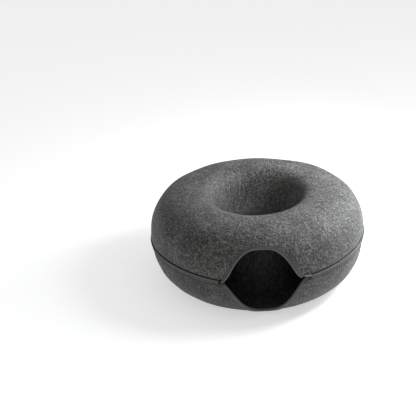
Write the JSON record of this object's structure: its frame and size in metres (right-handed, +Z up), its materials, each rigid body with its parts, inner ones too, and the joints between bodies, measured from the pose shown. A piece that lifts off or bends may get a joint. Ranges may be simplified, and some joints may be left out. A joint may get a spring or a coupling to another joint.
{
  "type": "felt cat cave",
  "caption": "Ring-shaped tunnel bed of moulded felt for a cat, two shells zipped together round the outside, with a bound arched doorway and an open middle.",
  "frame": {"origin": "on the floor, under the middle of the cave's bounding box", "axes": "+Z up, the doorway faces -Y, +X to the right of the doorway as seen from outside"},
  "size_m": [0.5024, 0.4864, 0.2153],
  "materials": {
    "felt": "heathered charcoal needle felt, matt, with short fuzz",
    "binding": "smooth folded polyester binding, matt",
    "zip_tape": "closely woven dark grey tape",
    "zip_chain": "black moulded coil"
  },
  "bodies": {
    "root": {"upper_shell": "felt", "lower_shell": "felt", "upper_door_binding": "binding", "lower_door_binding": "binding", "zip_chain": "zip_chain", "zip_tape": "zip_tape", "zip_end_tab": "zip_tape", "inner_seam_tape": "zip_tape"}
  },
  "joints": []
}
